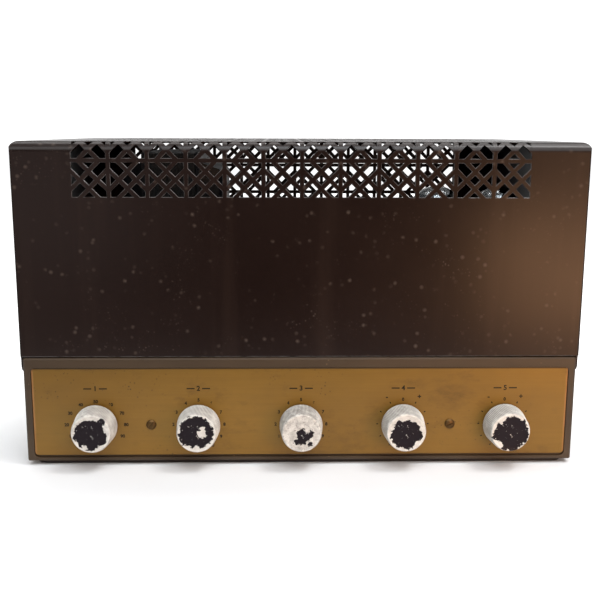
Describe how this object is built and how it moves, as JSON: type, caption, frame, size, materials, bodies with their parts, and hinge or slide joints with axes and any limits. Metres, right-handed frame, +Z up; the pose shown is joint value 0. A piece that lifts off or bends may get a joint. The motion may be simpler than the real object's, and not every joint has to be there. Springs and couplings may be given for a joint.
{
  "type": "tube amplifier",
  "caption": "Valve integrated amplifier: folded steel chassis with a brass control panel and round knobs, under a brown steel cover pierced with a square lattice.",
  "frame": {"origin": "centre of the bottom plate's underside, on the surface that the amplifier stands on", "axes": "+Z up, the knobs face -Y, +X to the right as seen from the knobs"},
  "size_m": [0.382, 0.2798, 0.2225],
  "materials": {
    "cover_enamel": "semi-gloss dark brown enamel, dusty and worn",
    "chassis_enamel": "grey-brown enamel, worn",
    "panel_brass": "brushed, stained",
    "pan_enamel": "dull dark enamel",
    "knob_plastic": "flaking whitish coat over black",
    "plated_steel": "dulled plating",
    "phenolic": "matte laminate",
    "black_bakelite": "moulded, slightly glossy",
    "lamination": "bare stacked edges",
    "bell_enamel": "black enamel",
    "valve_glass": "clear",
    "can_aluminium": "drawn, satin",
    "grommet_rubber": "matte"
  },
  "bodies": {
    "amplifier": {"cover": "cover_enamel", "chassis": "chassis_enamel", "front_panel": "panel_brass", "bottom_plate": "pan_enamel", "panel_screw_left": "plated_steel", "panel_screw_right": "plated_steel", "selector_frame": "plated_steel", "selector_wafer_front": "phenolic", "selector_wafer_rear": "phenolic", "pot_level": "plated_steel", "pot_loudness": "plated_steel", "pot_bass": "plated_steel", "pot_treble": "plated_steel", "power_transformer_core": "lamination", "power_transformer_bell_left": "bell_enamel", "power_transformer_bell_right": "bell_enamel", "output_transformer_core": "lamination", "output_transformer_bell_left": "bell_enamel", "output_transformer_bell_right": "bell_enamel", "rectifier_glass": "valve_glass", "rectifier_base": "black_bakelite", "rectifier_socket": "black_bakelite", "output_valve_1_glass": "valve_glass", "output_valve_1_base": "black_bakelite", "output_valve_1_socket": "black_bakelite", "output_valve_2_glass": "valve_glass", "output_valve_2_base": "black_bakelite", "output_valve_2_socket": "black_bakelite", "small_valve_1": "valve_glass", "small_valve_2": "valve_glass", "small_valve_3": "valve_glass", "small_valve_4": "valve_glass", "small_valve_1_socket": "black_bakelite", "small_valve_2_socket": "black_bakelite", "small_valve_3_socket": "black_bakelite", "small_valve_4_socket": "black_bakelite", "filter_can_1": "can_aluminium", "filter_can_2": "can_aluminium", "input_jack_strip": "phenolic", "speaker_terminals": "phenolic", "ac_outlet_1": "black_bakelite", "ac_outlet_2": "black_bakelite", "fuse_holder": "black_bakelite", "fuse_cap": "black_bakelite", "cord_grommet": "grommet_rubber", "tag_strip_1": "phenolic", "tag_strip_2": "phenolic"},
    "selector_control": {"knob_selector": "knob_plastic", "shaft_selector": "plated_steel", "selector_rotor_front": "phenolic", "selector_rotor_rear": "phenolic"},
    "level_control": {"knob_level": "knob_plastic", "shaft_level": "plated_steel"},
    "loudness_control": {"knob_loudness": "knob_plastic", "shaft_loudness": "plated_steel"},
    "bass_control": {"knob_bass": "knob_plastic", "shaft_bass": "plated_steel"},
    "treble_control": {"knob_treble": "knob_plastic", "shaft_treble": "plated_steel"}
  },
  "joints": [
    {"name": "selector_turn", "type": "hinge", "parent": "amplifier", "child": "selector_control", "pos_m": [-0.14122, -0.1219, 0.0292], "axis": [0, 1, 0], "range_deg": [-120, 120]},
    {"name": "level_turn", "type": "hinge", "parent": "amplifier", "child": "level_control", "pos_m": [-0.07061, -0.1219, 0.0292], "axis": [0, 1, 0], "range_deg": [-150, 150]},
    {"name": "loudness_turn", "type": "hinge", "parent": "amplifier", "child": "loudness_control", "pos_m": [0, -0.1219, 0.0292], "axis": [0, 1, 0], "range_deg": [-150, 150]},
    {"name": "bass_turn", "type": "hinge", "parent": "amplifier", "child": "bass_control", "pos_m": [0.07061, -0.1219, 0.0292], "axis": [0, 1, 0], "range_deg": [-150, 150]},
    {"name": "treble_turn", "type": "hinge", "parent": "amplifier", "child": "treble_control", "pos_m": [0.14122, -0.1219, 0.0292], "axis": [0, 1, 0], "range_deg": [-150, 150]}
  ]
}
